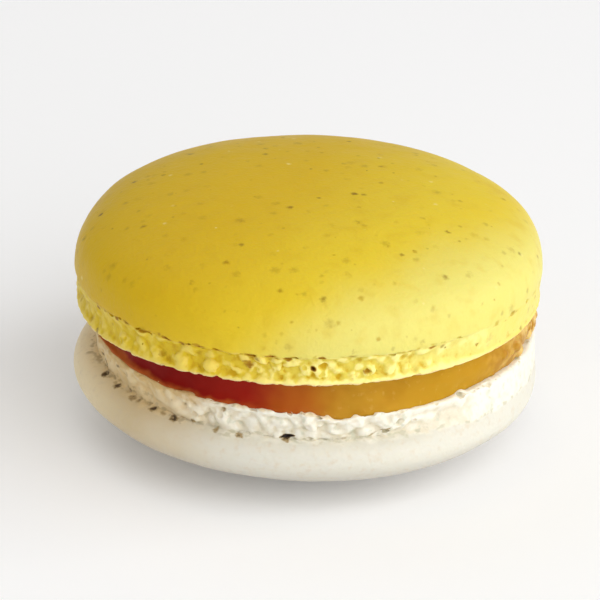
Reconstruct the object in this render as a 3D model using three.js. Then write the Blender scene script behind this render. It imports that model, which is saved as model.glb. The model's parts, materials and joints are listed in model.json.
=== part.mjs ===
// A French macaron: two almond meringue shells with a layer of fruit filling
// pressed between their flat faces. Each shell is one piece, a smooth dome that
// stands on a ruffled, bubbly band called the foot.
//
// Millimetres, +Z up. The macaron lies on the dome of its lower shell, and the
// origin is on the surface it lies on, below the middle of the macaron.
import * as THREE from "three";
import { ImprovedNoise } from "three/addons/math/ImprovedNoise.js";

// ---- driving dimensions ----

// A shell is described in its own frame, with its flat face at height 0 and its dome
// above. Going up: the foot from the face to the crease, a ledge out to the rim, the dome.
const UPPER = {
  faceRadius: 22.4,
  creaseRadius: 21.85,
  creaseHeight: 2.8,
  footShift: 0, // the foot's middle, along X
  footSpread: 0, // how much wider the foot is on its +X side
  rimRadius: 22.6,
  rimHeight: 3.5,
  domeHeight: 7.2, // from the rim to the crown
  domePower: 2.5, // 2 is an ellipse, more is fuller
  crownCut: 0, // how much of the crown is pressed flat
  crownShift: -0.8, // how far the crown leans along X
  seed: 11,
};
const LOWER = {
  faceRadius: 21.3,
  creaseRadius: 20.45,
  creaseHeight: 2.95,
  footShift: 0.35,
  footSpread: 0.6,
  rimRadius: 22.5,
  rimHeight: 4.7,
  domeHeight: 6.7,
  domePower: 1.9,
  crownCut: 0.55, // it stands on this flat
  crownShift: 0.5,
  seed: 47,
};

const FILLING_THICKNESS = 3.25; // between the two flat faces, at the middle
const FILLING_RADIUS = 20.75;
const FILLING_BELLY = 0.25; // how far its side is rounded out all round
const FILLING_BULGE = 0.9; // and how much more it is squeezed out on the +X side
const UPPER_TILT = THREE.MathUtils.degToRad(0.9); // the upper shell rises towards +X
const CLEARANCE = 0.3; // between the filling and each shell

// ---- surface relief ----

const LIP_HEIGHT = 0.5; // a thin rim round the flat face, where the batter met the tray
const LIP_CHAMFER = 0.15; // how far its lower edge is rounded in
const LIP_NOTCH = 0.7; // and how deep that edge is notched
const LIP_GROOVE = 0.35; // how far the foot draws in above that rim
const RUFFLE_SIZE = 1.7; // width of one ruffle of the foot
const RUFFLE_STRETCH = 1.6; // its height over its width
const RUFFLE_DEPTH = 0.8;
const CAVE_SIZE = 2.6; // spacing of the small caves along the crease
const CAVE_DEPTH = 1.2;
const LEDGE_GAP = 0.15; // the dome's ragged lower edge starts this far above the crease
const LEDGE_RAGGED = 0.2;
const WAVE_SIZE = 6; // the slow waves of the crease and the lip
const WAVE_DEPTH = 0.3;
const DENT_SIZE = 9; // the domes' slow unevenness
const DENT_DEPTH = 0.14;
const FILLING_WAVES = [
  { size: 5, depth: 0.35, seed: 71 },
  { size: 2, depth: 0.2, seed: 83 },
];

// ---- mesh density ----

const FOOT_STEPS = 188; // points round the foot
const FOOT_ROWS = 6; // rows from the lip to the crease
const DOME_STEPS = [132, 116, 100, 84, 66, 48, 32, 16]; // rings up the dome
const FILLING_STEPS = 124;
const FILLING_ROWS = 5;
const INNER_RINGS = [
  { steps: 12, share: 0.4 }, // rings within a flat face, share being out of its radius
  { steps: 44, share: 0.8 },
];

const perlin = new ImprovedNoise();
const { lerp, smoothstep } = THREE.MathUtils;

// Smooth noise of about -1 to 1 whose features are `size` wide.
function noise(point, size, seed) {
  return perlin.noise(
    point.x / size + seed,
    point.y / size - seed,
    point.z / size + 2 * seed,
  );
}

// The foot's outward relief: round ruffles with narrow valleys between them.
function ruffle(point, seed) {
  const probe = point.clone().setZ(point.z / RUFFLE_STRETCH);
  const hill = Math.hypot(noise(probe, RUFFLE_SIZE, seed), 0.12);
  return RUFFLE_DEPTH * (hill * 2.2 - 0.75);
}

// Small caves that open here and there, inwards.
function cave(point, seed) {
  return -CAVE_DEPTH * Math.max(0, noise(point, CAVE_SIZE, seed + 9) - 0.15);
}

const wave = (point, seed) => WAVE_DEPTH * noise(point, WAVE_SIZE, seed + 21);
const dent = (point, seed) => DENT_DEPTH * noise(point, DENT_SIZE, seed + 3);

// ---- skins: closed surfaces from rings of points ----

const polar = (radius, angle, z, shift = 0) =>
  new THREE.Vector3(shift + radius * Math.cos(angle), radius * Math.sin(angle), z);

function ring(steps, pointAt) {
  return Array.from({ length: steps }, (_, i) =>
    pointAt((2 * Math.PI * i) / steps),
  );
}

// Joins two rings, which may differ in points, by triangles that face outwards when the
// first ring comes before the second on the way out, up and in to the crown.
function band(a, b, faces) {
  const turnA = a.steps > 1 ? a.steps : 0; // a ring of one point is a pole
  const turnB = b.steps > 1 ? b.steps : 0;
  let i = 0;
  let j = 0;
  while (i < turnA || j < turnB) {
    const nextA = i < turnA ? (i + 1) / turnA : Infinity;
    const nextB = j < turnB ? (j + 1) / turnB : Infinity;
    const pointA = a.first + (i % a.steps);
    const pointB = b.first + (j % b.steps);
    if (nextA < nextB) {
      i += 1;
      faces.push(pointA, a.first + (i % a.steps), pointB);
    } else {
      j += 1;
      faces.push(pointA, b.first + (j % b.steps), pointB);
    }
  }
}

// A closed geometry over rings listed from the pole underneath to the pole on top.
function skin(rings) {
  const faces = [];
  const spans = [];
  let first = 0;
  for (const points of rings) {
    spans.push({ first, steps: points.length });
    first += points.length;
  }
  for (let k = 1; k < spans.length; k += 1) band(spans[k - 1], spans[k], faces);
  const geometry = new THREE.BufferGeometry().setFromPoints(rings.flat());
  geometry.setIndex(faces);
  geometry.computeVertexNormals();
  return geometry;
}

// ---- the shells ----

const spread = (shell, angle) => shell.footSpread * Math.max(0, Math.cos(angle)) ** 3;

// The flat face, level out to a slightly ragged edge.
function faceRings(shell) {
  const { faceRadius, footShift, seed } = shell;
  const pole = [polar(0, 0, 0, footShift)];
  const inner = INNER_RINGS.map(({ steps, share }) =>
    ring(steps, (a) => polar(faceRadius * share, a, 0, footShift)),
  );
  const edge = ring(FOOT_STEPS, (a) => {
    const probe = polar(faceRadius, a, 0);
    const notch = LIP_NOTCH * Math.max(0, noise(probe, RUFFLE_SIZE, seed + 7));
    const radius = faceRadius + spread(shell, a) - LIP_CHAMFER - notch;
    return polar(radius, a, 0, footShift);
  });
  return [pole, ...inner, edge];
}

// The foot: a thin lip at the flat face, then the ruffled band up to the crease.
function footRings(shell) {
  const { faceRadius, creaseRadius, creaseHeight, footShift, seed } = shell;
  const lip = [0.25, 0.8].map((share) =>
    ring(FOOT_STEPS, (a) => {
      const probe = polar(faceRadius, a, 0);
      const relief = 0.3 * ruffle(probe, seed) + wave(probe, seed);
      const radius = faceRadius + spread(shell, a) + relief;
      return polar(radius, a, LIP_HEIGHT * share, footShift);
    }),
  );
  const wall = Array.from({ length: FOOT_ROWS }, (_, row) =>
    ring(FOOT_STEPS, (a) => {
      const share = (row + 1) / FOOT_ROWS;
      const probe = polar(faceRadius, a, lerp(LIP_HEIGHT, creaseHeight, share));
      const groove = LIP_GROOVE * (1 - smoothstep(share, 0, 0.5));
      const relief = ruffle(probe, seed) + share * cave(probe, seed);
      const mean = lerp(faceRadius, creaseRadius, share ** 2) + spread(shell, a);
      const radius = mean - groove + relief + (1 - share) * wave(probe, seed);
      const height = probe.z + share * wave(probe, seed + 1);
      return polar(radius, a, height, footShift);
    }),
  );
  return [...lip, ...wall];
}

// The ledge from the crease out to the rim, where the dome hangs over the foot.
function ledgeRings(shell) {
  const { creaseRadius, creaseHeight, footShift, rimRadius, rimHeight, seed } = shell;
  return [0.35, 0.7].map((share) => {
    const turn = (share * Math.PI) / 2;
    return ring(share < 0.5 ? FOOT_STEPS : DOME_STEPS[0], (a) => {
      const out = lerp(creaseRadius, rimRadius, Math.sin(turn));
      const up = lerp(creaseHeight, rimHeight, 1 - Math.cos(turn)) + LEDGE_GAP;
      const probe = polar(out, a, up);
      const notch = LEDGE_RAGGED * noise(probe, RUFFLE_SIZE, seed + 17);
      const ragged = (1 - share) * (notch + wave(probe, seed + 1));
      const wider = spread(shell, a) * (1 - Math.sin(turn));
      return polar(out + wider, a, up + ragged, footShift * (1 - share));
    });
  });
}

// The dome from the rim to the crown, slightly dented and leaning.
function domeRings(shell) {
  const { rimRadius, rimHeight, domeHeight, domePower, crownCut, crownShift } = shell;
  const crown = domeHeight - crownCut;
  const point = (radius, angle, rise) => {
    const flatness = smoothstep(rise, 0.6 * crown, crown); // the crown stays level
    const uneven = dent(polar(radius, angle, rise), shell.seed) * (1 - flatness);
    const lean = crownShift * (rise / domeHeight) ** 2;
    return polar(radius + uneven, angle, rimHeight + rise + 0.5 * uneven, lean);
  };
  const rings = DOME_STEPS.map((steps, k) => {
    const turn = (k / DOME_STEPS.length) * (Math.PI / 2);
    const radius = rimRadius * Math.cos(turn) ** (2 / domePower);
    const rise = Math.min(crown, domeHeight * Math.sin(turn) ** (2 / domePower));
    return ring(steps, (a) => point(radius, a, rise));
  });
  return [...rings, [point(0, 0, crown)]];
}

function shellGeometry(shell) {
  return skin([
    ...faceRings(shell),
    ...footRings(shell),
    ...ledgeRings(shell),
    ...domeRings(shell),
  ]);
}

// ---- the filling ----

// A disc of set fruit jelly. Its lower face is level, its upper one follows the tilt of
// the upper shell, and its side is wavy and squeezed out towards +X.
function fillingGeometry() {
  const lowest = CLEARANCE;
  const highest = (x) => FILLING_THICKNESS - CLEARANCE + Math.tan(UPPER_TILT) * x;
  const cap = (level) =>
    INNER_RINGS.map(({ steps, share }) =>
      ring(steps, (a) => {
        const point = polar(FILLING_RADIUS * share, a, 0);
        return point.setZ(level(point.x));
      }),
    );
  const side = Array.from({ length: FILLING_ROWS + 1 }, (_, row) => {
    const share = row / FILLING_ROWS;
    return ring(FILLING_STEPS, (a) => {
      const squeezed = FILLING_BULGE * Math.max(0, Math.cos(a)) ** 2;
      const belly = (FILLING_BELLY + squeezed) * Math.sin(Math.PI * share) ** 0.7;
      const probe = polar(FILLING_RADIUS, a, 2 * share);
      const waves = FILLING_WAVES.map((w) => w.depth * noise(probe, w.size, w.seed));
      const uneven = waves.reduce((sum, depth) => sum + depth);
      const point = polar(FILLING_RADIUS + belly + uneven, a, 0);
      return point.setZ(lerp(lowest, highest(point.x), share));
    });
  });
  return skin([
    [new THREE.Vector3(0, 0, lowest)],
    ...cap(() => lowest),
    ...side,
    ...cap(highest).reverse(),
    [new THREE.Vector3(0, 0, highest(0))],
  ]);
}

// ---- assembly ----

function piece(name, geometry, color, roughness) {
  const material = new THREE.MeshStandardMaterial({ color, roughness, metalness: 0 });
  const mesh = new THREE.Mesh(geometry, material);
  mesh.name = name;
  return mesh;
}

// Height of the lower shell's flat face, which looks up.
const lowerFace = LOWER.rimHeight + LOWER.domeHeight - LOWER.crownCut;

const lowerShell = piece("lower_shell", shellGeometry(LOWER), "#efe3c8", 0.75);
lowerShell.rotation.x = Math.PI;
lowerShell.position.z = lowerFace;

const filling = piece("filling", fillingGeometry(), "#b8741f", 0.25);
filling.position.z = lowerFace;

const upperShell = piece("upper_shell", shellGeometry(UPPER), "#dcb92f", 0.6);
upperShell.rotation.y = -UPPER_TILT;
upperShell.position.z = lowerFace + FILLING_THICKNESS;

const macaron = new THREE.Group();
macaron.name = "macaron";
macaron.add(lowerShell, filling, upperShell);

export default macaron;
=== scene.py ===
# %% [markdown]
# # A French macaron
# Two meringue shells, lemon yellow above and almond white below, with fruit filling between
# them. What makes a macaron is its foot, the bubbly ruffle that the meringue pushes out
# under its smooth dome while it bakes. So each shell is modelled dome first, foot second.

# %% Load the frame
import json
import random
from math import atan2, cos, pi, radians, sin, tan
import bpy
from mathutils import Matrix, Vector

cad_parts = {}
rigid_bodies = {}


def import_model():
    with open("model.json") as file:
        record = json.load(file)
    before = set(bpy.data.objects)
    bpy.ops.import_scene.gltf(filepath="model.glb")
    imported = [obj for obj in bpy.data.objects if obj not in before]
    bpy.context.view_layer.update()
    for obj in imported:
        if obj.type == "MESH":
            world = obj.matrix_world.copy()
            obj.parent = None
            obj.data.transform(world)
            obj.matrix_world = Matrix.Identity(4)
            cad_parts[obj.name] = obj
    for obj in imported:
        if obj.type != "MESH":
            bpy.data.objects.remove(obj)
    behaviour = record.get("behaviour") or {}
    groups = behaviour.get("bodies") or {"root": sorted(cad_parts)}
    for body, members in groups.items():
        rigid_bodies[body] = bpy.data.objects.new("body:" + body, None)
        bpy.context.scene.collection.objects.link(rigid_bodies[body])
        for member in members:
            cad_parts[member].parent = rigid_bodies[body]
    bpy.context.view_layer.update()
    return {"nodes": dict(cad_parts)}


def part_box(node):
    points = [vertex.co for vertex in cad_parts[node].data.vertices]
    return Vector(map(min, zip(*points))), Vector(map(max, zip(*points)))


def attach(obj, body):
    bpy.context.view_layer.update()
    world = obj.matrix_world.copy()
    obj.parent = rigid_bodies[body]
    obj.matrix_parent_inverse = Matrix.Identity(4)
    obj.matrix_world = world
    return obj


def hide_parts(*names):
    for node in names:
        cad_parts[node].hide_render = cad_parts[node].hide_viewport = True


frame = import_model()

from types import SimpleNamespace as Shell

import bpy
import numpy as np
from mathutils import Euler, Matrix, Vector

MM = 0.001
print("frame nodes:", sorted(frame["nodes"]))

# %% [markdown]
# ## The camera first
# A long lens looks down on the macaron. It is set up before anything is made, because
# every later choice is judged through it. The macaron leans a little, which a small roll
# of the camera gives without tilting the part itself.

# %% Place the camera
ELEVATION = radians(24.3)
ROLL = radians(2.0)
DISTANCE = 450 * MM
AIM = Vector((-0.7, 0.75, 12.5)) * MM
LENS = 278.6  # mm
SENSOR = 36  # mm wide


def adjust(thing, settings):
    for name, value in settings.items():
        setattr(thing, name, value)
    return thing


def new_object(name, data):
    made = bpy.data.objects.new(name, data)
    bpy.context.scene.collection.objects.link(made)
    return made


def add_camera():
    settings = {"lens": LENS, "sensor_width": SENSOR}
    camera = new_object("camera", adjust(bpy.data.cameras.new("camera"), settings))
    back = Vector((0, -cos(ELEVATION), sin(ELEVATION)))
    turn = Euler((pi / 2 - ELEVATION, 0, 0)).to_matrix().to_4x4()
    roll = Matrix.Rotation(ROLL, 4, "Z")
    camera.matrix_world = Matrix.Translation(AIM + back * DISTANCE) @ turn @ roll
    bpy.context.scene.camera = camera
    return camera


camera = add_camera()
print("camera at", [round(v, 3) for v in camera.matrix_world.translation])

# %% [markdown]
# ## Small hand tools
# Operators act on what is selected, so each step first picks the pieces it means. A
# modifier is added, set and applied in one go.

# %% Pick pieces and apply modifiers
def enter(mode):
    bpy.ops.object.mode_set(mode=mode)


def pick(*pieces):
    if bpy.context.mode != "OBJECT":
        enter("OBJECT")
    bpy.ops.object.select_all(action="DESELECT")
    for piece in pieces:
        piece.select_set(True)
    bpy.context.view_layer.objects.active = pieces[0]


def apply_modifier(piece, kind, **settings):
    pick(piece)
    modifier = adjust(piece.modifiers.new(kind.lower(), kind), settings)
    bpy.ops.object.modifier_apply(modifier=modifier.name)


def smooth(piece, rounds, group=""):
    apply_modifier(piece, "SMOOTH", factor=0.5, iterations=rounds, vertex_group=group)


def triangles(piece):
    piece.data.calc_loop_triangles()
    return len(piece.data.loop_triangles)


print("mode:", bpy.context.mode)

# %% [markdown]
# ## Sizes
# The shells are modelled in millimetres, each in its own frame with the flat face at
# height 0 and the dome above it, and are turned and placed at the end. Going up, a shell
# has its foot, the crease where the foot ends, a ledge out to the rim, and the dome. The
# yellow shell is full and steep at the side, the white one is flatter.

# %% Name the sizes
UPPER = Shell(
    face_radius=22.1,
    crease_radius=21.75,
    crease_height=2.85,
    foot_shift=-0.1,  # the foot's middle, along X
    foot_spread=0.35,  # how much wider the foot is on its +X side
    rim_radius=22.6,
    rim_height=3.3,
    dome_height=7.4,
    dome_power=2.56,  # 2 is an ellipse, more is fuller
    crown_cut=0,  # how much of the crown is pressed flat
    # pushes on the dome: where, how far, and how wide they reach
    pushes=(((0, 0, 10.7), (-1.1, 0, 0), 22.6), ((-21.5, 4, 6.5), (0.4, -0.1, 0), 9)),
    lip=0.12,  # how far the foot's lip stands out
    flare=0.6,  # how far the foot's top edge stands out to meet the dome
    ease=0.14,  # how softly foot and dome meet
    fill=0.75,  # how far the crease is filled all round
    quiet=((-20, 4), (-163, 6)),  # where it baked smooth: degrees, how soon that ends
    smooth=(1, 0.5),  # how smooth it is there
    filled=(1, 0.5),  # and how far the crease is filled
    # where the foot reaches further: degrees, how far, how soon that ends, up to where
    drops=((-165, 0.75, 4, 6),),
    upside=1,  # -1 for the shell that is turned over
    seed=11,
)
LOWER = Shell(
    face_radius=21.2,
    crease_radius=20.4,
    crease_height=2.95,
    foot_shift=0.35,
    foot_spread=0.6,
    rim_radius=22.5,
    rim_height=4.7,
    dome_height=6.7,
    dome_power=1.9,
    crown_cut=0.55,
    pushes=(((0, 0, 10.85), (0.5, 0, 0), 22.5),),
    lip=-0.1,
    flare=0.15,
    ease=0.2,
    fill=0.3,
    quiet=((-15, 3), (-160, 4)),
    smooth=(1, 0.4),
    filled=(1, 0.1),
    drops=((-176, 0.6, 6, 7), (-81, -0.6, 200, 2.4), (-60, -0.3, 20, 2.4)),
    upside=-1,
    seed=47,
)
UPPER_TILT = radians(0.9)
LOWER_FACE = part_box("lower_shell")[1].z / MM
UPPER_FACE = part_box("upper_shell")[1].z / MM - UPPER.rim_height - UPPER.dome_height
GAP = UPPER_FACE - LOWER_FACE
print("flat faces at", round(LOWER_FACE, 2), "and", round(UPPER_FACE, 2), "mm")

# %% [markdown]
# ## A dome on the lathe
# A piped shell is round because the batter flows evenly, so half its outline, spun once
# round, gives the whole dome, with its flattened top and its steep side. The outline
# starts as one vertex that is extruded from point to point.

# %% Spin an outline
SAME_PLACE = 0.001  # mm below which two vertices become one


def lathe(name, outline, steps):
    bpy.ops.mesh.primitive_plane_add(size=1)
    piece = bpy.context.object
    piece.name = name
    enter("EDIT")
    bpy.ops.mesh.merge(type="CENTER")
    bpy.ops.transform.translate(value=(outline[0][0], 0, outline[0][1]))
    for (r0, z0), (r1, z1) in zip(outline, outline[1:]):
        step = (r1 - r0, 0, z1 - z0)
        bpy.ops.mesh.extrude_vertices_move(TRANSFORM_OT_translate={"value": step})
    bpy.ops.mesh.select_all(action="SELECT")
    bpy.ops.mesh.spin(steps=steps, angle=2 * pi, center=(0, 0, 0), axis=(0, 0, 1))
    bpy.ops.mesh.select_all(action="SELECT")
    bpy.ops.mesh.remove_doubles(threshold=SAME_PLACE)
    bpy.ops.mesh.normals_make_consistent(inside=False)
    enter("OBJECT")
    return piece


def quarter(start, end, power, rows, rising):
    """Points of a quarter superellipse. It leaves start level, or upright when rising."""
    (r0, z0), (r1, z1) = start, end
    points = []
    for row in range(rows + 1):
        turn = row / rows * pi / 2
        slow = 1 - cos(turn) ** (2 / power)
        fast = sin(turn) ** (2 / power)
        across, up = (slow, fast) if rising else (fast, slow)
        if row == rows:
            across = up = 1.0
        points.append((r0 + (r1 - r0) * across, z0 + (z1 - z0) * up))
    return points


print("halfway up a quarter circle:", quarter((1, 0), (0, 1), 2, 2, True)[1])

# %% [markdown]
# ## The shell's body
# A shell isn't the same all round. Its foot isn't quite a circle, and where the oven was
# gentle it baked almost smooth and runs on into the dome. Everything on the foot asks the
# functions that say so.

# %% Round the foot
SPREAD_FADE = 3  # how soon the foot's spread ends away from +X
QUIET_WIDTH = 1.4  # above 1, a quiet side stays fully quiet for a stretch
WALL_INSET = 0.05  # how far inside the face's edge the wall to the dome starts
WALL_CURVE = 1.5  # above 1, it turns outwards late


def around(angle, radius, height):
    return (radius * cos(angle), radius * sin(angle), height)


def foot_place(shell, angle, radius, height):
    out = radius + shell.foot_spread * max(0.0, cos(angle)) ** SPREAD_FADE
    return (shell.foot_shift + out * cos(angle), out * sin(angle), height)


def foot_radius(shell, angle, radius, height):
    return Vector(foot_place(shell, angle, radius, height)).xy.length


def inset(shell, height):
    """How far the foot has drawn in at a height, from its face up to the crease."""
    return (shell.face_radius - shell.crease_radius) * height / shell.crease_height


def lobe(shell, angle, degrees, fade):
    """1 at a place round the shell, falling to 0 a quarter turn away."""
    turn = shell.upside * radians(degrees)
    return np.maximum(0, np.cos(angle - turn)) ** fade


def quiet_sides(shell, angle, what):
    """The most that any quiet side gives at an angle, of smoothness or of filling."""
    near = [np.minimum(1, QUIET_WIDTH * lobe(shell, angle, *side)) for side in shell.quiet]
    return np.max([most * share for most, share in zip(getattr(shell, what), near)], axis=0)


def quietness(shell, angle):
    """1 where the foot came out of the oven smooth, 0 where it is roughest."""
    return quiet_sides(shell, angle, "smooth")


def filledness(shell, angle):
    """1 where the crease above the foot is filled, 0 where it is open."""
    return np.maximum(shell.fill, quiet_sides(shell, angle, "filled"))


def wall_radius(shell, angle, height):
    """How far out the wall is where dome and foot run together."""
    share = min(1, max(0, height / shell.rim_height))
    foot = foot_radius(shell, angle, shell.face_radius - WALL_INSET, height)
    return foot + (shell.rim_radius - foot) * share**WALL_CURVE


def foot_surface(shell, angle, height):
    """How far out the foot's surface is, whether it is foam or smooth."""
    foam = foot_radius(shell, angle, shell.face_radius - inset(shell, height), height)
    filled = float(filledness(shell, angle))
    return foam + filled * max(0, wall_radius(shell, angle, height) - foam)


print("quietness in front and at the right:", quietness(UPPER, np.array((-pi / 2, 0))))

# %% [markdown]
# A noise swells a surface, and a weight says where. A push moves one vertex with
# proportional editing, so what is around it follows, less and less with distance.

# %% Swell, weigh and push
CLOUDS = ("CLOUDS", {"noise_depth": 2})
CELLS = ("VORONOI", {})  # low in the middle of each cell and high between cells
# rounded, with sharp ridges, and creases when it is turned inside out
FOLDS = ("MUSGRAVE", {"musgrave_type": "RIDGED_MULTIFRACTAL", "octaves": 2})
SWIRLS = ("DISTORTED_NOISE", {})


def swell(piece, noise, size, depth, group="", mid_level=0.5):
    kind, settings = noise
    texture = bpy.data.textures.new(kind.lower(), type=kind)
    adjust(texture, {"noise_scale": size, **settings})
    settings = {"texture": texture, "texture_coords": "LOCAL", "mid_level": mid_level}
    apply_modifier(piece, "DISPLACE", strength=depth, vertex_group=group, **settings)


def places_of(piece):
    places = np.empty(len(piece.data.vertices) * 3)
    piece.data.vertices.foreach_get("co", places)
    return places.reshape(-1, 3)


def angles_of(places):
    return np.arctan2(places[:, 1], places[:, 0])


def weigh(piece, name, weights):
    """A vertex group with one weight for each point."""
    group = piece.vertex_groups.new(name=name)
    for index, weight in enumerate(np.clip(weights, 0, 1)):
        if weight > 0:
            group.add([index], float(weight), "REPLACE")


def edit_nearest(piece, place):
    """Opens edit mode with only the vertex nearest to a place selected."""
    pick(piece)
    enter("EDIT")
    bpy.ops.mesh.select_mode(type="VERT")
    bpy.ops.mesh.select_all(action="DESELECT")
    enter("OBJECT")
    nearest = np.argmin(np.linalg.norm(places_of(piece) - np.array(place), axis=1))
    piece.data.vertices[int(nearest)].select = True
    enter("EDIT")


def push(piece, place, way, reach):
    edit_nearest(piece, place)
    settings = {"proportional_edit_falloff": "SMOOTH", "proportional_size": reach}
    bpy.ops.transform.translate(value=way, use_proportional_edit=True, **settings)
    enter("OBJECT")


print("noises:", [kind for kind, _ in (CLOUDS, CELLS, FOLDS, SWIRLS)])

# %% [markdown]
# The body is everything except the ruffle: a plug that fills the middle of the foot, the
# ledge under the rim, and the dome. Meringue never sets perfectly even, so a slow noise
# swells and sinks the surface by a tenth of a millimetre, a finer one nicks the dome's
# lower edge, and the crown is pulled to one side.

# %% Make the body
BODY_STEPS = 360
DOME_ROWS = 44
LEDGE_ROWS = 10
LEDGE_POWER = 2.6
LEDGE_START = 0.4  # outside the plug
PLUG_GAP = 1.3  # from the plug out to the foot
PLUG_HEIGHTS = (0.12, 0.6, 1.2, 1.8, 2.4)
DENTS = 9.0  # mm between slow dents
DENT_DEPTH = 0.22
SKIRT_SIZE = 1.1  # mm between the nicks along the dome's lower edge
SKIRT_DEPTH = 0.65
SKIRT_REACH = 0.7  # mm up and down from the edge
SKIRT_CALM = 0.7  # how much weaker they are on the quiet sides
EDGE_RISE = 0.2  # the dome's edge is this far above the crease
TINY = 0.01


def body_outline(shell):
    plug = shell.crease_radius - PLUG_GAP
    crease = (plug + LEDGE_START, shell.crease_height)
    rim = (shell.rim_radius, shell.rim_height)
    crown = (0, shell.rim_height + shell.dome_height)
    top = crown[1] - shell.crown_cut
    dome = quarter(rim, crown, shell.dome_power, DOME_ROWS, True)
    ledge = quarter(crease, rim, LEDGE_POWER, LEDGE_ROWS, False)
    wall = [(plug, height) for height in PLUG_HEIGHTS]
    return [(0, PLUG_HEIGHTS[0])] + wall + ledge + [(r, min(z, top)) for r, z in dome[1:]]


def fill_crease(body, shell):
    """Where the foot came out of the oven smooth, the dome runs on into it and fills the crease.
    """
    plug = shell.crease_radius - PLUG_GAP - TINY
    for vertex in body.data.vertices:
        radius, height = vertex.co.xy.length, vertex.co.z
        if radius < plug or height >= shell.rim_height:
            continue
        angle = atan2(vertex.co.y, vertex.co.x)
        gap = max(0, wall_radius(shell, angle, height) - radius)
        vertex.co.xy *= 1 + float(filledness(shell, angle)) * gap / radius


def dome_weight(shell, places):
    top = shell.rim_height + shell.dome_height - shell.crown_cut
    return np.minimum(places[:, 2] - shell.crease_height, (top - places[:, 2]) * 2)


def from_edge(shell, places):
    return np.abs(places[:, 2] - shell.crease_height - EDGE_RISE)


def skirt_weight(shell, places):
    calm = quietness(shell, angles_of(places))
    return (1 - from_edge(shell, places) / SKIRT_REACH) * (1 - SKIRT_CALM * calm)


def make_body(shell):
    body = lathe("body", body_outline(shell), BODY_STEPS)
    fill_crease(body, shell)
    for place, way, reach in shell.pushes:
        push(body, place, way, reach)
    weigh(body, "dome", dome_weight(shell, places_of(body)))
    swell(body, CLOUDS, DENTS, DENT_DEPTH, "dome")
    weigh(body, "skirt", skirt_weight(shell, places_of(body)))
    swell(body, CLOUDS, SKIRT_SIZE, SKIRT_DEPTH, "skirt")
    return body


upper_body = make_body(UPPER)
lower_body = make_body(LOWER)
print("bodies:", triangles(upper_body), "and", triangles(lower_body), "triangles")

# %% [markdown]
# ## The foot
# The foot is foam: hundreds of bubbles of batter that swelled, burst and dried. A bump
# texture would leave its edge straight and its hollows shallow, so the foam is built. A
# plain band carries it. Lumps of batter are scattered over the band, and a voxel remesh
# melts band and lumps into one skin, as the oven does. Three noises then crease and
# roughen it. The bubbles that burst are cut out later, from foot and dome together.

# %% Scatter many small lumps as one mesh
def lump_template():
    bpy.ops.mesh.primitive_ico_sphere_add(subdivisions=2, radius=1)
    template = bpy.context.object
    points = np.array([v.co[:] for v in template.data.vertices])
    faces = np.array([f.vertices[:] for f in template.data.polygons])
    bpy.data.objects.remove(template)
    return points, faces


LUMP_POINTS, LUMP_FACES = lump_template()


def scatter(lumps):
    """One mesh of many lumps, each given as (place, three half-widths, turn)."""
    points = []
    for place, half_widths, turn in lumps:
        shape = np.array(turn.to_matrix()) @ np.diag(half_widths)
        points.append(LUMP_POINTS @ shape.T + np.array(place))
    count = len(LUMP_POINTS)
    faces = [LUMP_FACES + count * k for k in range(len(lumps))]
    mesh = bpy.data.meshes.new("lumps")
    mesh.from_pydata(np.concatenate(points).tolist(), [], np.concatenate(faces).tolist())
    return new_object("lumps", mesh)


def melt(piece, voxel, rounds):
    apply_modifier(piece, "REMESH", mode="VOXEL", voxel_size=voxel)
    smooth(piece, rounds)
    return piece


def boolean(piece, other, operation):
    apply_modifier(piece, "BOOLEAN", object=other, operation=operation, solver="MANIFOLD")
    bpy.data.objects.remove(other)


print("one lump has", len(LUMP_FACES), "faces")

# %% [markdown]
# A lump's place is given round the foot: an angle, a height, and how far out its middle
# is. Each lump is stretched and turned a little at random, so no two look alike. Where
# the foot is quiet, lumps are fewer and sit deeper.

# %% Place lumps round the foot
QUIET_SINK = 0.2
MOSTLY_SMALL = 1.5  # above 1, small lumps outnumber large ones
UNEVEN = (0.8, 1.2)  # how much each half-width varies
LEAN = 0.3  # radians either way along the foot


def random_lumps(shell, rng, count, out, up, size, shape, sway, quiet):
    """Lumps in the ranges out, from the face's edge, and up. Shape is how their half-widths
    compare outwards, along the foot and upwards, sway is how far they tip, in radians, and
    quiet is how much they are thinned on the quiet sides."""
    lumps = []
    for _ in range(count):
        angle = rng.uniform(-pi, pi)
        calm = float(quietness(shell, angle))
        half = size[0] + (size[1] - size[0]) * rng.random() ** MOSTLY_SMALL
        radius = shell.face_radius + rng.uniform(*out) - QUIET_SINK * calm
        height = rng.uniform(*up)
        place = foot_place(shell, angle, radius - inset(shell, height), height)
        half_widths = [half * part * rng.uniform(*UNEVEN) for part in shape]
        turn = Euler((rng.uniform(-sway, sway), rng.uniform(-LEAN, LEAN), angle))
        if rng.random() > quiet * calm:
            lumps.append((place, half_widths, turn))
    return lumps


def kinds_of_lumps(shell, seed, kinds):
    rng = random.Random(seed)
    return [lump for kind in kinds for lump in random_lumps(shell, rng, *kind)]


def chosen_lumps(shell):
    """The pits: degrees round the part, height, how far out from the surface, tilt in
    degrees, half-widths outwards, along the foot and upwards, and how dark their painted shade is."""
    lumps = []
    for degrees, up, out, tilt, *half_widths, _ in shell.pits:
        angle = shell.upside * radians(degrees)
        place = around(angle, foot_surface(shell, angle, up) + out, up)
        lumps.append((place, half_widths, Euler((radians(tilt), 0, angle))))
    return lumps


print("half-widths vary by factors of", UNEVEN)

# %% [markdown]
# The two feet differ. The yellow one ran down in soft ruffles and has a thin, notched lip
# where it lay on the baking paper. The white one is crumblier, like cottage cheese, and
# its pits are mostly in the crease above the dome.
#
# Ruffles and bubbles are strewn at random, one kind to a row: how many, out, up, size,
# shape, sway and quiet. The pits that catch the eye are each put in their place.

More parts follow.
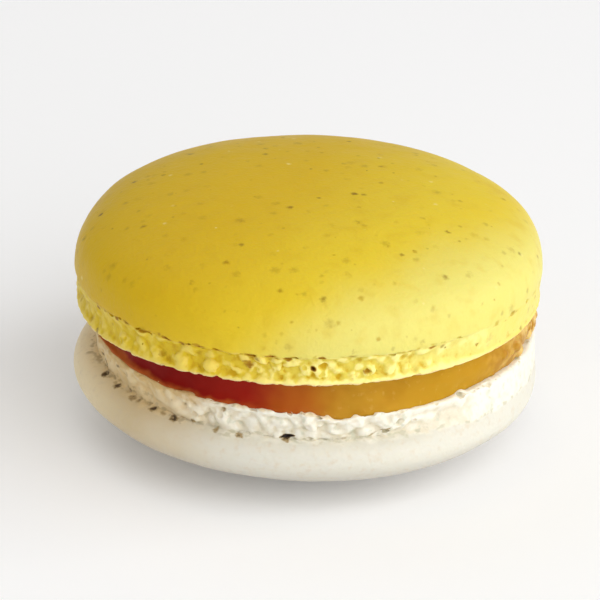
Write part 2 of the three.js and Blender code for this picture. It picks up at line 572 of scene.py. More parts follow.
# %% Say what each foot is made of
UPPER.ruffles = [
    (280, (-0.35, 0.05), (0.9, 2.7), (0.4, 0.9), (0.5, 0.9, 0.8), 1, 0),
    (130, (-0.1, 0.1), (0.8, 2.7), (0.2, 0.45), (0.6, 1.2, 0.9), 1.5, 0.7),
    (150, (0.1, 0.5), (2.5, 3.15), (0.3, 0.65), (0.6, 1.4, 0.7), 0.4, 0.8),
]
UPPER.bubbles = [
    (80, (0.5, 0.75), (0.9, 2.6), (0.4, 0.8), (1, 0.9, 0.8), 1, 1),
    (50, (0, 0.25), (0.9, 2.6), (0.12, 0.26), (1.2, 1, 0.9), 1.5, 0.9),
    (70, (0.5, 0.8), (2.75, 3.15), (0.13, 0.24), (2.4, 2.4, 0.8), 0.4, 0.7),
    (220, (-0.05, 0.3), (-0.15, 0.12), (0.15, 0.38), (1.2, 1.4, 0.7), 0.5, 0),
]
UPPER.pits = [
    (-152, 2.6, 0.2, 20, 0.5, 0.4, 0.2, 0.5), (-148, 2.9, 0.3, 30, 0.5, 0.3, 0.2, 0.3),
    (-143, 2.8, 0.3, 10, 0.5, 0.35, 0.2, 0.6), (-138, 3, 0.3, -20, 0.5, 0.5, 0.13, 0.3),
    (-132, 2.95, 0.3, 10, 0.5, 0.7, 0.13, 0.4), (-125, 3, 0.3, -10, 0.5, 0.6, 0.15, 0.4),
    (-121, 2.8, 0.3, 40, 0.6, 0.4, 0.2, 0.6), (-116, 3, 0.3, 10, 0.5, 0.5, 0.13, 0.4),
    (-111, 2.95, 0.3, -10, 0.5, 0.35, 0.15, 0.35), (-104, 1.8, 0.2, 0, 0.6, 0.7, 0.5, 0.4),
    (-103, 3, 0.3, -8, 0.5, 0.6, 0.13, 0.35), (-98, 3.05, 0.3, 8, 0.5, 0.5, 0.13, 0.45),
    (-94, 2.85, 0.3, 0, 0.5, 0.35, 0.2, 0.5), (-88, 1.85, 0.2, 40, 0.6, 0.17, 0.24, 0.8),
    (-86, 3, 0.3, 0, 0.5, 0.35, 0.15, 0.5), (-79, 3.1, 0.3, 5, 0.5, 0.7, 0.1, 0.2),
    (-75, 1.3, 0.1, 0, 0.5, 0.35, 0.2, 0.35), (-64, 2.9, 0.3, 0, 0.5, 0.6, 0.15, 0.2),
    (-58, 2.75, 0.3, 0, 0.5, 0.5, 0.15, 0.45), (-44, 1.5, 0.2, 0, 0.45, 0.25, 0.2, 0.3),
    (-30.5, 3, 0.1, 0, 0.45, 0.4, 0.26, 0.25), (-22.5, 3.05, 0.15, 0, 0.5, 0.5, 0.24, 0.15),
]
# what shapes the skin: noise, its size, depth and middle level
UPPER.noises = ((CELLS, 1.6, -0.45, 0.5), (FOLDS, 1.4, -0.3, 0.7), (SWIRLS, 0.6, 0.14, 0))

LOWER.ruffles = [
    (130, (-0.35, -0.05), (0.5, 2.3), (0.7, 1.4), (0.4, 1, 0.8), 1, 0),
    (70, (-0.15, 0), (0.4, 2.5), (0.25, 0.5), (0.6, 1.1, 0.9), 1.5, 0.9),
    (110, (-0.2, 0), (0, 0.3), (0.15, 0.35), (0.8, 1.6, 0.7), 0.5, 0.5),
    (60, (-0.2, 0.1), (2.4, 3.1), (0.3, 0.6), (0.6, 1.4, 0.6), 0.5, 1),
]
LOWER.bubbles = [
    (70, (0.45, 0.7), (0.3, 2.5), (0.5, 0.8), (0.9, 1, 0.8), 1.5, 1),
    (35, (0, 0.2), (0.4, 2.4), (0.1, 0.2), (1.2, 1, 1), 1.5, 1),
    (60, (0.1, 0.4), (2.4, 3), (0.13, 0.26), (2, 2, 0.8), 0.5, 1.6),
    (190, (-0.1, 0.25), (-0.1, 0.15), (0.15, 0.38), (1.2, 1.3, 0.8), 0.5, 0.4),
]
LOWER.pits = [
    (-170, 2.2, 0.1, -20, 0.4, 0.6, 0.15, 0.6), (-162, 2, 0.1, -30, 0.4, 0.6, 0.15, 0.7),
    (-157, 2, 0.1, -45, 0.4, 0.5, 0.15, 0.6), (-157, 2.95, 0.2, -30, 0.4, 0.45, 0.18, 0.85),
    (-149, 2.85, 0.2, 30, 0.4, 0.35, 0.22, 0.9), (-149, 1, 0.2, 0, 0.4, 0.2, 0.15, 0.5),
    (-145, 1.3, 0.2, 0, 0.4, 0.2, 0.15, 0.5), (-142, 2.9, 0.2, -25, 0.45, 0.5, 0.13, 0.65),
    (-139, 2.85, 0.2, 10, 0.45, 0.35, 0.15, 0.75), (-132.5, 2.8, 0.25, 25, 0.45, 0.5, 0.15, 0.9),
    (-130, 2.75, 0.25, -30, 0.45, 0.4, 0.15, 0.85), (-126, 2.95, 0.25, -20, 0.45, 0.5, 0.15, 0.85),
    (-120, 2.75, 0.2, 0, 0.45, 0.3, 0.15, 0.6), (-116, 1.6, 0.2, 0, 0.45, 0.18, 0.18, 0.7),
    (-113, 2.85, 0.2, 20, 0.45, 0.3, 0.15, 0.75), (-111, 0.65, 0.2, 0, 0.5, 0.22, 0.2, 0.7),
    (-107, 2.9, 0.2, -20, 0.45, 0.4, 0.15, 0.8), (-94, 2.76, 0.2, 8, 1.1, 0.66, 0.17, 1.6),
    (-90, 2.35, 0.25, 0, 0.5, 0.4, 0.3, 0.3), (-79, 2.75, 0.2, 8, 0.5, 0.6, 0.14, 0.35),
    (-71, 2.45, 0.2, 24, 0.5, 1.45, 0.16, 0.5), (-57, 0.5, 0.35, 0, 0.4, 0.25, 0.2, 0.2),
    (-54, 1.6, 0.36, -30, 0.45, 0.6, 0.2, 0.15), (-49, 2.5, 0.4, 0, 0.45, 0.3, 0.2, 0.15),
    (-42, 2.6, 0.38, 20, 0.45, 0.5, 0.2, 0.2), (-37, 1.4, 0.36, -40, 0.45, 0.6, 0.24, 0.15),
]
LOWER.noises = ((CELLS, 1.8, -0.55, 0.5), (FOLDS, 1.4, -0.3, 0.7), (SWIRLS, 0.7, 0.1, 0))
print("pits:", len(UPPER.pits), "and", len(LOWER.pits))

# %% Make the foam
BAND_STEPS = 240
BAND_WIDTH = 3.2
FOAM_VOXEL = 0.145
FOAM_ROUNDS = 3
ROUGH_FROM = 0.9  # the foot is at its roughest from this height up
ROUGH_LIP = 0.4  # and this rough along the lip
ROUGH_CALM = 0.85  # how much calmer the quiet sides are


def band_outline(shell):
    """From the inside out along the lip, up over neck and waist to the flare, and back."""
    inner = shell.face_radius - BAND_WIDTH
    lip = shell.face_radius + shell.lip
    neck = shell.face_radius - 0.25
    waist = 0.6 * shell.crease_height
    flare = (shell.crease_radius + shell.flare, shell.crease_height + 0.1)
    foot = [(inner, 0), (lip - 0.22, 0), (lip, 0.12), (lip - 0.02, 0.4), (neck, 0.75)]
    return foot + [(neck - inset(shell, waist), waist), flare, (inner, flare[1]), (inner, 0)]


def make_band(shell):
    band = lathe("band", band_outline(shell), BAND_STEPS)
    for vertex in band.data.vertices:
        angle = atan2(vertex.co.y, vertex.co.x)
        vertex.co = foot_place(shell, angle, vertex.co.xy.length, vertex.co.z)
    return band


def roughness_at(shell, places):
    """Rough high on the foot, less along its lip and on its quiet sides."""
    calm = quietness(shell, angles_of(places))
    return np.clip(places[:, 2] / ROUGH_FROM, ROUGH_LIP, 1) * (1 - ROUGH_CALM * calm)


def make_foam(shell):
    foam = make_band(shell)
    pick(foam, scatter(kinds_of_lumps(shell, shell.seed, shell.ruffles)))
    bpy.ops.object.join()
    melt(foam, FOAM_VOXEL, FOAM_ROUNDS)
    weigh(foam, "rough", roughness_at(shell, places_of(foam)))
    for noise, size, depth, mid_level in shell.noises:
        swell(foam, noise, size, depth, "rough", mid_level)
    return foam


upper_foam = make_foam(UPPER)
lower_foam = make_foam(LOWER)
print("foam:", triangles(upper_foam), "and", triangles(lower_foam), "triangles")

# %% [markdown]
# ## Shells in place
# Body and foam are united, so each shell is one closed piece with no faces inside, and the
# burst bubbles are cut out of it. Each point learns three numbers for the finish: how high
# it is, how dark the shade painted into it is if it lies in a chosen pit, and how deep it
# lies below the smoothed surface, so that the finish can paint shade into the hollows,
# darker and more orange than the ridges.

# %% Measure each point
HOLLOW_ROUNDS = 14
PIT_RIM = 0.18  # mm over which a pit's darkness fades out


def smoothed(piece, rounds):
    """The piece's points after each has moved to its neighbours' middle, rounds times."""
    ends = np.empty(len(piece.data.edges) * 2, dtype=np.int32)
    piece.data.edges.foreach_get("vertices", ends)
    a, b = ends.reshape(-1, 2).T
    places = places_of(piece)
    count = len(places)
    neighbours = np.bincount(ends, minlength=count)[:, None]
    for _ in range(rounds):
        sums = [np.bincount(a, v[b], count) + np.bincount(b, v[a], count) for v in places.T]
        places = np.stack(sums, 1) / neighbours
    return places


def note(piece, name, values):
    """Keeps one number for each of the piece's points."""
    attribute = piece.data.attributes.new(name, "FLOAT", "POINT")
    attribute.data.foreach_set("value", np.ascontiguousarray(values))


def measure_hollows(piece, rounds):
    places = places_of(piece)
    normals = np.empty(places.size)
    piece.data.vertex_normals.foreach_get("vector", normals)
    depth = ((smoothed(piece, rounds) - places) * normals.reshape(-1, 3)).sum(1)
    note(piece, "hollow", depth)
    print(piece.name, "has hollows up to", round(float(np.percentile(depth, 99)), 2), "mm deep")


def mark_pits(piece, shell):
    places = places_of(piece)
    dark = np.zeros(len(places))
    for row, (middle, half_widths, turn) in zip(shell.pits, chosen_lumps(shell)):
        across = (places - middle) @ np.array(turn.to_matrix())
        share = np.linalg.norm(across / half_widths, axis=1)
        beyond = np.linalg.norm(across, axis=1) * (1 - 1 / share)
        dark = np.maximum(dark, row[-1] * np.clip((PIT_RIM - beyond) / PIT_RIM, 0, 1))
    note(piece, "pit", dark)


def open_edges(piece):
    """How many edges don't join two faces. A closed piece has none."""
    edges = np.empty(len(piece.data.loops), dtype=np.int32)
    piece.data.loops.foreach_get("edge_index", edges)
    return int((np.bincount(edges, minlength=len(piece.data.edges)) != 2).sum())


print("open edges of the bodies:", open_edges(upper_body), open_edges(lower_body))

# %% [markdown]
# The crease is eased before the bubbles are cut, so their edges stay crisp. At the end the
# white shell is turned over onto its dome, and the yellow one is set on the filling with
# its slight tilt.

# %% Unite, cut and place
CUTTER_VOXEL = 0.125
RAGGED_SIZE = 0.5  # how uneven the cut bubbles are, in width and depth
RAGGED_DEPTH = 0.12
CREASE_ROUNDS = 36
CREASE_REACH = 1.4  # mm that the easing reaches up and down
CALM_SLOPE = 0.45  # on the quiet sides it reaches further
OVER_THE_DOME = (0, 0, 20)
FOAM_TOP = 0.5  # mm above the crease


def make_bubbles(shell):
    bubbles = kinds_of_lumps(shell, shell.seed + 1, shell.bubbles)
    bubbles += chosen_lumps(shell)
    cutter = melt(scatter(bubbles), CUTTER_VOXEL, 0)
    swell(cutter, SWIRLS, RAGGED_SIZE, RAGGED_DEPTH, mid_level=0.0)
    return melt(cutter, CUTTER_VOXEL, 1)


def crease_weight(shell, places):
    """Runs dome and foot together along the crease, most on the quiet sides."""
    calm = quietness(shell, angles_of(places))
    away = from_edge(shell, places)
    eased = shell.ease * (CREASE_REACH - away)
    return np.maximum(eased, np.sqrt(calm) * (CREASE_REACH - CALM_SLOPE * away))


def drop_crumbs(piece):
    """Takes away what the cuts left hanging loose, so all that isn't joined to the dome."""
    edit_nearest(piece, OVER_THE_DOME)
    bpy.ops.mesh.select_linked()
    bpy.ops.mesh.select_all(action="INVERT")
    bpy.ops.mesh.delete(type="VERT")
    enter("OBJECT")


def deepen_foot(piece, shell):
    """Notes each point's height, then lets the foot reach further, or less, on some sides."""
    places = places_of(piece)
    angles = angles_of(places)
    heights = places[:, 2].copy()
    note(piece, "rise", heights)
    for degrees, depth, fade, top in shell.drops:
        share = np.clip(1 - heights / top, 0, 1) * lobe(shell, angles, degrees, fade)
        places[:, 2] -= depth * share
    piece.data.vertices.foreach_set("co", places.ravel())
    piece.data.update()


def settle(piece, turn, height):
    piece.matrix_world = Matrix.Scale(MM, 4) @ Matrix.Translation((0, 0, height)) @ turn
    pick(piece)
    bpy.ops.object.transform_apply(location=True, rotation=True, scale=True)
    bpy.ops.object.shade_smooth()


def unite(name, shell, body, foam):
    boolean(body, foam, "UNION")
    weigh(body, "crease", crease_weight(shell, places_of(body)))
    smooth(body, CREASE_ROUNDS, "crease")
    boolean(body, make_bubbles(shell), "DIFFERENCE")
    drop_crumbs(body)
    print(name, "has", triangles(body), "triangles and", open_edges(body), "open edges")
    body.name = name
    foot = places_of(body)[:, 2] < shell.crease_height + FOAM_TOP
    weigh(body, "foam", foot.astype(float))
    smooth(body, 2, "foam")
    mark_pits(body, shell)
    deepen_foot(body, shell)
    measure_hollows(body, HOLLOW_ROUNDS)
    return body


upper_shell = unite("yellow_shell", UPPER, upper_body, upper_foam)
lower_shell = unite("white_shell", LOWER, lower_body, lower_foam)
settle(upper_shell, Matrix.Rotation(-UPPER_TILT, 4, "Y"), UPPER_FACE)
settle(lower_shell, Matrix.Rotation(pi, 4, "X"), LOWER_FACE)
print("shells:", triangles(upper_shell), "and", triangles(lower_shell), "triangles")

# %% [markdown]
# ## The filling
# The filling was piped in a blob and spread when the shells were pressed together, so its
# side is a soft wall that follows neither shell exactly. It clings to both shells with a
# thin spread edge, dips in front, where the white foot is lower, and was squeezed out in
# crumbly lumps on the right. It is a disc on the lathe again, swelled by two noises, and
# the lumps are united with it.

# %% Make the filling
FILLING_RADIUS = 20.45
CORE = FILLING_RADIUS - 2  # its top and bottom are flat up to here
CLING = 0.5  # how much further out its edge spreads on each shell
BULGE = 1.5  # how far it was squeezed out on the right
RECESS = 0.2  # and how far it stayed back on the left
RECESS_AT = radians(-155)
FILLING_STEPS = 460
FILLING_ROWS = 24
SINK = 0.05  # it goes this far into each shell
CRUMBS = 85
CRUMB_ANGLES = (-34, 45, -6)  # degrees: from, to, and where they are thickest
CRUMB_SIZE = (0.35, 0.8)
CRUMB_SINK = 0.4  # at most this deep in the wall
CRUMB_VOXEL = 0.12


def filling_outline(low, high):
    outline = [(0, low), (CORE, low)]
    for row in range(FILLING_ROWS + 1):
        share = row / FILLING_ROWS
        cling = CLING * abs(2 * share - 1) ** 3
        outline.append((FILLING_RADIUS + cling, low + (high - low) * share))
    return outline + [(CORE, high), (0, high)]


def squeezed(angle, share):
    """How far out the wall was squeezed, at a share of its height."""
    bulge = BULGE * max(0, cos(angle)) ** 2 * sin(pi * share) ** 0.7
    return bulge - RECESS * max(0, cos(angle - RECESS_AT)) ** 2


def squeezed_lumps():
    """Lumps on the wall where it was squeezed out, from the front round to the right."""
    rng = random.Random(5)
    lumps = []
    for _ in range(CRUMBS):
        angle = radians(rng.triangular(*CRUMB_ANGLES))
        share = rng.random()
        out = FILLING_RADIUS + squeezed(angle, share) + rng.uniform(-CRUMB_SINK, 0.0)
        half = rng.uniform(*CRUMB_SIZE)
        place = around(angle, out, LOWER_FACE + GAP * share)
        turn = Euler((rng.uniform(-1, 1), 0, angle))
        lumps.append((place, (half * 0.8, half * 1.2, half), turn))
    return lumps


def foot_drop(shell, angle):
    """How far the shell's foot reaches towards the filling, seen from outside."""
    own = shell.upside * angle
    return sum(depth * float(lobe(shell, own, at, fade)) for at, depth, fade, _ in shell.drops)


def shape_wall(filling):
    """Fits the filling to both shells, so it dips with the lower foot, and squeezes it out."""
    slope = tan(UPPER_TILT)
    for vertex in filling.data.vertices:
        share = min(1, max(0, (vertex.co.z - LOWER_FACE) / GAP))
        angle = atan2(vertex.co.y, vertex.co.x)
        radius = vertex.co.xy.length
        vertex.co.z += slope * vertex.co.x * share
        if radius > 1:
            below = foot_drop(LOWER, angle) * (1 - share) ** 2
            vertex.co.z += below - foot_drop(UPPER, angle) * share
        if radius > FILLING_RADIUS - 0.1:
            vertex.co.xy *= 1 + squeezed(angle, share) / radius


def make_filling():
    outline = filling_outline(LOWER_FACE - SINK, UPPER_FACE + SINK)
    filling = lathe("fruit_filling", outline, FILLING_STEPS)
    shape_wall(filling)
    radii = np.linalg.norm(places_of(filling)[:, :2], axis=1)
    weigh(filling, "side", (radii > FILLING_RADIUS - 1).astype(float))
    swell(filling, CLOUDS, 5.0, 0.7, "side")
    swell(filling, CLOUDS, 1.4, 0.2, "side")
    lumps = melt(scatter(squeezed_lumps()), CRUMB_VOXEL, 4)
    swell(lumps, CLOUDS, 0.5, 0.15)
    boolean(filling, lumps, "UNION")
    measure_hollows(filling, 5)
    settle(filling, Matrix(), 0)
    return filling


filling = make_filling()
print("filling:", triangles(filling), "triangles,", open_edges(filling), "open edges")

# %% [markdown]
# ## A finish, node by node
# All three finishes are mixed from soft noise, round freckles and steps between two
# values. A small class adds these as nodes, so each finish below reads like a recipe. It
# measures in mm, in the frame of its own shell, so height 0 is the shell's flat face
# whichever way up the shell lies.

# %% Nodes by name
def rgb(color):
    return color if isinstance(color, bpy.types.NodeSocket) else (*color, 1)


def feed(node, inputs):
    """Links each of a node's inputs, or sets it where the value is a plain number."""
    for key, value in inputs.items():
        if isinstance(value, bpy.types.NodeSocket):
            node.id_data.links.new(value, node.inputs[key])
        else:
            node.inputs[key].default_value = value


class Finish:
    def __init__(self, name, turn=(0, 0, 0), height=0.0):
        self.material = bpy.data.materials.new(name)
        self.material.use_nodes = True
        self.nodes = self.material.node_tree.nodes
        self.shader = self.nodes["Principled BSDF"]
        place = self.node("TexCoord", {}).outputs["Object"]
        scale = (1 / MM, 1 / MM, 1 / MM)
        inputs = {"Vector": place, "Location": (0, 0, height), "Rotation": turn, "Scale": scale}
        self.place = self.node("Mapping", inputs).outputs["Vector"]
        self.x, self.y, self.z = self.node("SeparateXYZ", {"Vector": self.place}).outputs

    def node(self, kind, inputs, **settings):
        node = adjust(self.nodes.new("ShaderNode" + kind), settings)
        feed(node, inputs)
        return node

    def vector_math(self, operation, vector):
        return self.node("VectorMath", {0: self.place, 1: vector}, operation=operation).outputs

    def moved(self, seed):
        return self.vector_math("ADD", (seed, 2.3 * seed, -seed))["Vector"]

    def math(self, operation, a, b=0.0):
        return self.node("Math", {0: a, 1: b}, operation=operation).outputs[0]

    def times(self, a, b):
        return self.math("MULTIPLY", a, b)

    def plus(self, a, b):
        return self.math("ADD", a, b)

    def noise(self, size, detail=2.0, seed=0.0):
        """Soft noise around 0.5 in patches of about size mm."""
        inputs = {"Vector": self.moved(seed), "Scale": 1 / size, "Detail": detail}
        return self.node("TexNoise", inputs).outputs["Fac"]

    def wander(self, value, most, *noise):
        """A value with up to most added, so that borders drawn from it wander."""
        return self.plus(value, self.times(self.noise(*noise), most))

    def along(self, direction, most):
        """How far a place lies along a direction, wandering by up to most."""
        return self.wander(self.vector_math("DOT_PRODUCT", direction)["Value"], most, 7, 3)

    def step(self, value, low, high):
        """0 up to low, 1 from high, and smooth between them."""
        inputs = {"Value": value, "From Min": low, "From Max": high}
        return self.node("MapRange", inputs, interpolation_type="SMOOTHSTEP").outputs[0]

    def patches(self, low, high, *noise):
        return self.step(self.noise(*noise), low, high)

    def mix(self, share, a, b, most=1.0):
        """From colour a, at share 0, to colour b, or most of the way."""
        inputs = {0: self.times(share, most), 6: rgb(a), 7: rgb(b)}
        return self.node("Mix", inputs, data_type="RGBA").outputs[2]

    def measured(self, name):
        """What was noted for each point of the mesh."""
        return self.node("Attribute", {}, attribute_name=name).outputs["Fac"]

    def freckles(self, spacing, size, seed):
        """Round spots up to size mm across, and a number from 0 to 1 for each."""
        inputs = {"Vector": self.moved(seed), "Scale": 1 / spacing}
        spots = self.node("TexVoronoi", inputs).outputs
        draw = self.node("SeparateColor", {"Color": spots["Color"]}).outputs
        half = self.times(draw[0], size / 2 / spacing)
        near = self.math("DIVIDE", spots["Distance"], half)
        return self.step(self.wander(near, 1.2, 0.3, 1, seed + 5), 1.9, 0.8), draw[1]

    def seam(self, rise, height, low, high):
        """Stretches of a thin line that wanders about a height."""
        off = self.math("SUBTRACT", self.wander(rise, 1, 2.2, 2, 19), height)
        line = self.step(self.math("ABSOLUTE", off), 0.24, 0.06)
        return self.times(line, self.patches(low, high, 0.9, 2, 21))

    def paint_pit_shade(self, color, half, full):
        """Paints shade into the chosen pits unevenly: half as dark, fully dark, and black."""
        uneven = self.plus(self.times(self.noise(0.35, 2, 41), 1.6), 0.2)
        dark = self.times(self.measured("pit"), uneven)
        color = self.mix(self.step(dark, 0.05, 0.5), color, half)
        color = self.mix(self.step(dark, 0.45, 0.9), color, full)
        return self.mix(self.step(dark, 1.0, 1.4), color, (0.012, 0.005, 0.004))

    def relief(self, depth):
        """A fine grain over dimples of some depth in mm."""
        grain = self.times(self.noise(0.35, 3, 11), 0.05)
        height = self.plus(grain, self.times(self.noise(1.6, 2, 13), depth))
        bump = self.node("Bump", {"Height": height, "Distance": MM, "Strength": 1.0})
        feed(self.shader, {"Normal": bump.outputs["Normal"]})

    def finish(self, color, roughness, depth, soft, shine):
        """Depth is how deep light goes in, in mm for red, green and blue, and soft how much."""
        feed(self.shader, {"Base Color": color, "Roughness": roughness})
        feed(self.shader, {"Specular IOR Level": shine, "Subsurface Weight": soft})
        feed(self.shader, {"Subsurface Radius": depth, "Subsurface Scale": MM})
        return self.material


def dress(piece, material):
    piece.data.materials.clear()
    piece.data.materials.append(material)
    print(piece.name, "wears", material.name, "of", len(material.node_tree.nodes), "nodes")


print("finishes measure in mm, with the shells' faces at 0")

# %% [markdown]
# ## Lemon meringue
# The yellow shell is coloured through. Its skin is dry and almost smooth, with a fine
# grain, and it is full of almond freckles, from pale olive to dark brown. Skin and foot
# are painted paler towards the lamps, which is painted light, and more orange away from
# them, partly browning and partly painted shade. The foot is painted paler on its ridges
# and a warm orange brown in its hollows, which is painted shade.

# %% Mix the lemon finish
LEMON_FRECKLES = ((1.7, 1.1, 1, 0.28), (1.9, 0.75, 2, 0.6), (3.0, 0.85, 4, 0.95))


def lemon_skin(f, pale):
    # Partly browning, partly painted light and shade: lighter towards the lamps, which light the
    # front right from low down, and more orange away from them.
    browning_and_painted_light = f.step(f.along((0.9, -0.42, -0.8), 6), -10, 8)
    skin = f.mix(browning_and_painted_light, (0.68, 0.445, 0.008), (0.77, 0.575, 0.03))
    # A painted highlight: the skin is painted paler lemon where the lamps light it most.
    skin = f.mix(pale, skin, (0.75, 0.68, 0.18))
    return f.mix(f.patches(0.5, 0.8, 2.2, 2, 3), skin, (0.62, 0.39, 0.008), 0.3)


def lemon_foam(f, pale):
    # Painted light: ridges and middle tones are painted paler towards the lamps and on the right.
    ridge = f.mix(pale, (0.82, 0.64, 0.11), (0.94, 0.84, 0.3))
    ridge = f.mix(f.step(f.x, 15, 20), ridge, (0.78, 0.64, 0.1), 0.8)
    gold = f.mix(pale, (0.72, 0.52, 0.022), (0.74, 0.61, 0.09))
    gold = f.mix(f.step(f.x, 5, 14), gold, (0.84, 0.77, 0.26), 0.5)
    # Painted shade: the deeper a point lies in a hollow, the darker and more orange it is painted.
    hollow = f.measured("hollow")
    hollow_shade = f.wander(hollow, 0.3, 0.9, 3, 17)
    foam = f.mix(f.step(hollow_shade, 0.08, 0.19), ridge, gold)
    foam = f.mix(f.step(hollow_shade, 0.19, 0.29), foam, (0.6, 0.37, 0.01))
    deep = f.mix(pale, (0.3, 0.12, 0.005), (0.42, 0.26, 0.01))
    return f.mix(f.step(hollow, 0.12, 0.26), foam, deep)


def lemon_finish():
    f = Finish("lemon_meringue", (0, UPPER_TILT, 0), -UPPER_FACE)
    # pale is 1 low on the front right, where the lamps light most. What it mixes is painted light.
    pale = f.step(f.along((0.75, -0.65, -0.8), 5), 7, 19)
    rise = f.measured("rise")
    border = f.step(f.wander(rise, 0.8, 1.2, 2, 9), 3.15, 3.55)
    color = f.mix(border, lemon_foam(f, pale), lemon_skin(f, pale))
    # Brown dashes along the crease: partly browning, partly painted shade where the dome's edge
    # overhangs the foot.
    crease_shade_and_browning = f.mix(pale, (0.4, 0.19, 0.006), (0.52, 0.36, 0.02))
    color = f.mix(f.seam(rise, 3.5, 0.5, 0.66), color, crease_shade_and_browning, 0.7)
    lip = f.step(f.wander(rise, 0.3, 0.8, 2, 23), 0.45, 0.25)
    color = f.mix(lip, color, (0.84, 0.66, 0.34), 0.8)
    for spacing, size, seed, most in LEMON_FRECKLES:
        spots, draw = f.freckles(spacing, size, seed)
        tint = f.mix(f.step(draw, 0.2, 0.8), (0.42, 0.24, 0.0), (0.2, 0.1, 0.0))
        color = f.mix(spots, color, tint, most)
    # Painted shade in the chosen pits, from brown to black.
    color = f.paint_pit_shade(color, (0.42, 0.21, 0.012), (0.1, 0.035, 0.003))
    specks, _ = f.freckles(2.8, 0.6, 7)
    color = f.mix(specks, color, (0.88, 0.76, 0.3), 0.6)
    f.relief(0.08)
    uneven = {"Value": f.noise(2.5, 2, 15), "To Min": 0.36, "To Max": 0.5}
    roughness = f.node("MapRange", uneven).outputs[0]
    return f.finish(color, roughness, (0.9, 0.5, 0.12), 0.15, 0.14)


dress(upper_shell, lemon_finish())

# %% [markdown]
# ## Almond meringue
# The white shell has no colour of its own: what shows is almond, sugar and a little
# browning. It is painted tan on the left, away from the lamps, and whiter towards them,
# partly browning and partly painted shade. Its far left edge is painted lighter, which is
# painted light, and its underside darker, which is painted shade. Its foot is painted
# lighter on the lumps and tan in the hollows, which is painted shade, and it is stained by
# the filling along its upper edge, where juice soaked in.

# %% Mix the almond finish
def almond_skin(f, browning_and_painted_light):
    # Partly browning, partly painted light and shade: tan on the left, away from the lamps, and
    # whiter towards them.
    skin = f.mix(browning_and_painted_light, (0.62, 0.5, 0.3), (0.71, 0.69, 0.6))
    # Painted light: the far left edge of the skin is painted lighter.
    skin = f.mix(f.step(f.x, -16, -22), skin, (0.82, 0.69, 0.44))
    return f.mix(f.patches(0.5, 0.8, 0.7, 2, 3), skin, (0.64, 0.52, 0.36), 0.4)


def almond_foam(f, browning_and_painted_light, hollow):
    # Painted light and shade: the foam is lighter towards the lamps, and goes from beige to deep
    # brown the deeper a point lies in a hollow.
    ridge = f.mix(browning_and_painted_light, (0.73, 0.58, 0.33), (0.86, 0.83, 0.72))
    beige = f.mix(browning_and_painted_light, (0.72, 0.54, 0.27), (0.77, 0.71, 0.56))
    deep = f.mix(browning_and_painted_light, (0.5, 0.35, 0.14), (0.58, 0.53, 0.38))
    hollow_shade = f.wander(hollow, 0.3, 0.8, 3, 17)
    foam = f.mix(f.step(hollow_shade, 0.1, 0.22), ridge, beige)
    return f.mix(f.step(hollow_shade, 0.22, 0.31), foam, deep)


def almond_stains(f, color, browning_and_painted_light, rise):
    """Smudges all over the foot, browning and painted shade in the crease, and juice along the
    upper edge.
    """
    smudge = f.mix(browning_and_painted_light, (0.5, 0.38, 0.2), (0.62, 0.63, 0.5))
    smudged = f.times(f.patches(0.58, 0.7, 0.9, 2, 31), f.step(rise, 3.4, 2.6))
    color = f.mix(smudged, color, smudge, 0.65)
    # Brown dashes along the crease: partly browning, partly painted shade.
    crease_shade_and_browning = f.mix(browning_and_painted_light, (0.36, 0.26, 0.12), (0.55, 0.52, 0.38))
    color = f.mix(f.seam(rise, 3.4, 0.48, 0.62), color, crease_shade_and_browning, 0.7)
    soaked = f.step(f.wander(rise, -2.4, 1.0, 3, 12), -0.2, -0.9)
    color = f.mix(f.times(soaked, f.step(browning_and_painted_light, 1.0, 0.5)), color, (0.56, 0.34, 0.09), 0.65)
    fringe = f.step(f.wander(rise, 0.7, 0.6, 2, 33), 0.55, 0.25)
    juice = f.mix(browning_and_painted_light, (0.5, 0.28, 0.07), (0.72, 0.55, 0.28))
    return f.mix(f.times(fringe, f.step(f.x, 17, 5)), color, juice, 0.6)


def almond_finish():
    f = Finish("almond_meringue", (pi, 0, 0), LOWER_FACE)
    # How far a point lies towards the lamps at the front right. What it mixes is partly browning
    # and partly painted light and shade.
    side = f.plus(f.times(f.x, 0.8), f.times(f.y, 0.6))
    browning_and_painted_light = f.step(f.wander(side, 10, 6, 3), 1, 14)
    hollow = f.measured("hollow")
    rise = f.measured("rise")
    border = f.step(f.wander(rise, 0.8, 1.4, 2, 9), 3.2, 3.6)
    color = f.mix(border, almond_foam(f, browning_and_painted_light, hollow), almond_skin(f, browning_and_painted_light))
    shaded = f.mix(browning_and_painted_light, (0.26, 0.16, 0.07), (0.48, 0.44, 0.32))
    color = f.mix(f.step(hollow, 0.11, 0.24), color, shaded)
    color = almond_stains(f, color, browning_and_painted_light, rise)
    spots, draw = f.freckles(3.2, 0.4, 2)
    color = f.mix(spots, color, f.mix(draw, (0.52, 0.44, 0.3), (0.28, 0.22, 0.14)), 0.5)
    # Painted shade: the crown of the dome, the macaron's underside facing the floor, is painted
    # darker.
    color = f.mix(f.step(f.z, 4.8, 8.2), color, (0.5, 0.46, 0.4), 0.7)
    # Painted shade in the chosen pits, from brown to black.
    color = f.paint_pit_shade(color, (0.4, 0.29, 0.14), (0.085, 0.05, 0.02))
    f.relief(0.07)
    return f.finish(color, 0.55, (0.9, 0.7, 0.45), 0.2, 0.4)


dress(lower_shell, almond_finish())

# %% [markdown]
# ## Fruit jelly
# The filling is clear amber jelly, and light goes well into it. A stretch of it is dark red
# berry, and where it was squeezed out on the right it dried to pale crumbs.

# %% Mix the jelly finish
BERRY = (-10.8, -17.8, 12.8)  # the middle of the red stretch


